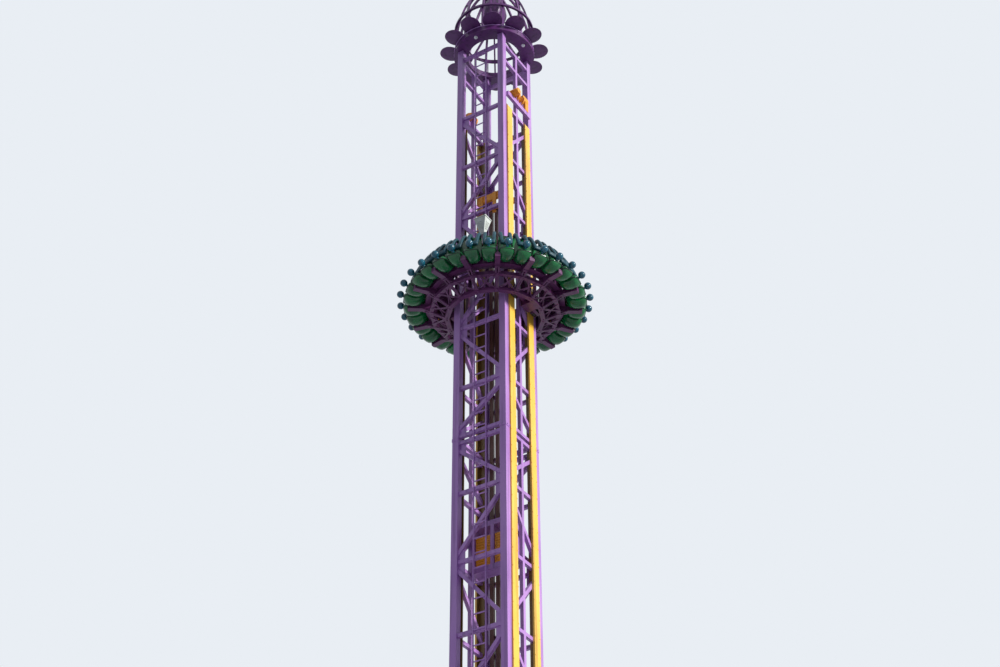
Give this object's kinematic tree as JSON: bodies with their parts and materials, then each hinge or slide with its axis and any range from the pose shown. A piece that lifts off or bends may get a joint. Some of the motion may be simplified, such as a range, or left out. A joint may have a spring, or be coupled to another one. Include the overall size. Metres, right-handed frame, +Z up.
{
  "type": "drop tower ride 1:2 scale model",
  "caption": "Half-size square lattice drop tower with yellow guide rails, a sliding ring of outward-facing seats, a counterweight inside and a petalled crown with a cage on top.",
  "frame": {"origin": "middle of the base frame's underside, at ground level on the tower's axis", "axes": "+Z up the tower, +X towards the right rails, -Y out of the front face with the ladder"},
  "size_m": [3.3344, 3.3344, 25.975],
  "materials": {
    "purple_paint": "satin purple paint",
    "crown_paint": "dark purple paint",
    "rail_paint": "golden yellow paint",
    "orange_paint": "orange paint",
    "seat_shell": "green moulded shell",
    "pommel_shell": "blue-green moulded shell",
    "restraint_foam": "dark moulded foam",
    "roller_tyre": "dark roller tyre",
    "housing_paint": "pale grey paint"
  },
  "bodies": {
    "tower": {"column_front_right": "purple_paint", "column_front_left": "purple_paint", "column_back_right": "purple_paint", "column_back_left": "purple_paint", "section_collars": "purple_paint", "base_plates": "purple_paint", "lattice_front": "purple_paint", "lattice_back": "purple_paint", "lattice_right": "purple_paint", "lattice_left": "purple_paint", "base_frame": "purple_paint", "rail_right_front": "rail_paint", "rail_right_back": "rail_paint", "rail_left_front": "rail_paint", "rail_left_back": "rail_paint", "ladder": "purple_paint", "sheave_beam_right": "purple_paint", "sheave_beam_left": "purple_paint", "sheaves": "orange_paint", "hoist_beam": "orange_paint", "cable_ducts": "rail_paint", "head_ring": "crown_paint", "petals": "crown_paint", "guard_rail": "purple_paint", "core_legs": "purple_paint", "cage_ribs": "purple_paint", "cage_hoops": "purple_paint", "crown_core": "crown_paint", "finial": "purple_paint"},
    "ride": {"outer_ring": "purple_paint", "inner_ring": "purple_paint", "ring_struts": "purple_paint", "seat_arms": "purple_paint", "back_ring": "purple_paint", "back_panels": "purple_paint", "deck_plates": "purple_paint", "deck_posts": "purple_paint", "ring_braces": "purple_paint", "seat_pans": "seat_shell", "seat_backs": "seat_shell", "pommels": "pommel_shell", "chest_pads": "restraint_foam", "shoulder_bars": "restraint_foam", "carriage_posts": "purple_paint", "carriage_brackets": "purple_paint", "roller_yokes": "purple_paint", "rollers": "roller_tyre", "housing_post": "purple_paint", "post_housing": "housing_paint"},
    "counterweight": {"counterweight_frame": "purple_paint", "counterweight_blocks": "orange_paint"}
  },
  "joints": [
    {"name": "ride_slide", "type": "slide", "parent": "tower", "child": "ride", "axis": [0, 0, 1], "range_m": [-17.06, 3.2]},
    {"name": "weight_slide", "type": "slide", "parent": "tower", "child": "counterweight", "axis": [0, 0, 1], "range_m": [-1.6, 8.53]}
  ],
  "couplings": [
    {"joint": "weight_slide", "follows": "ride_slide", "ratio": -0.5}
  ]
}
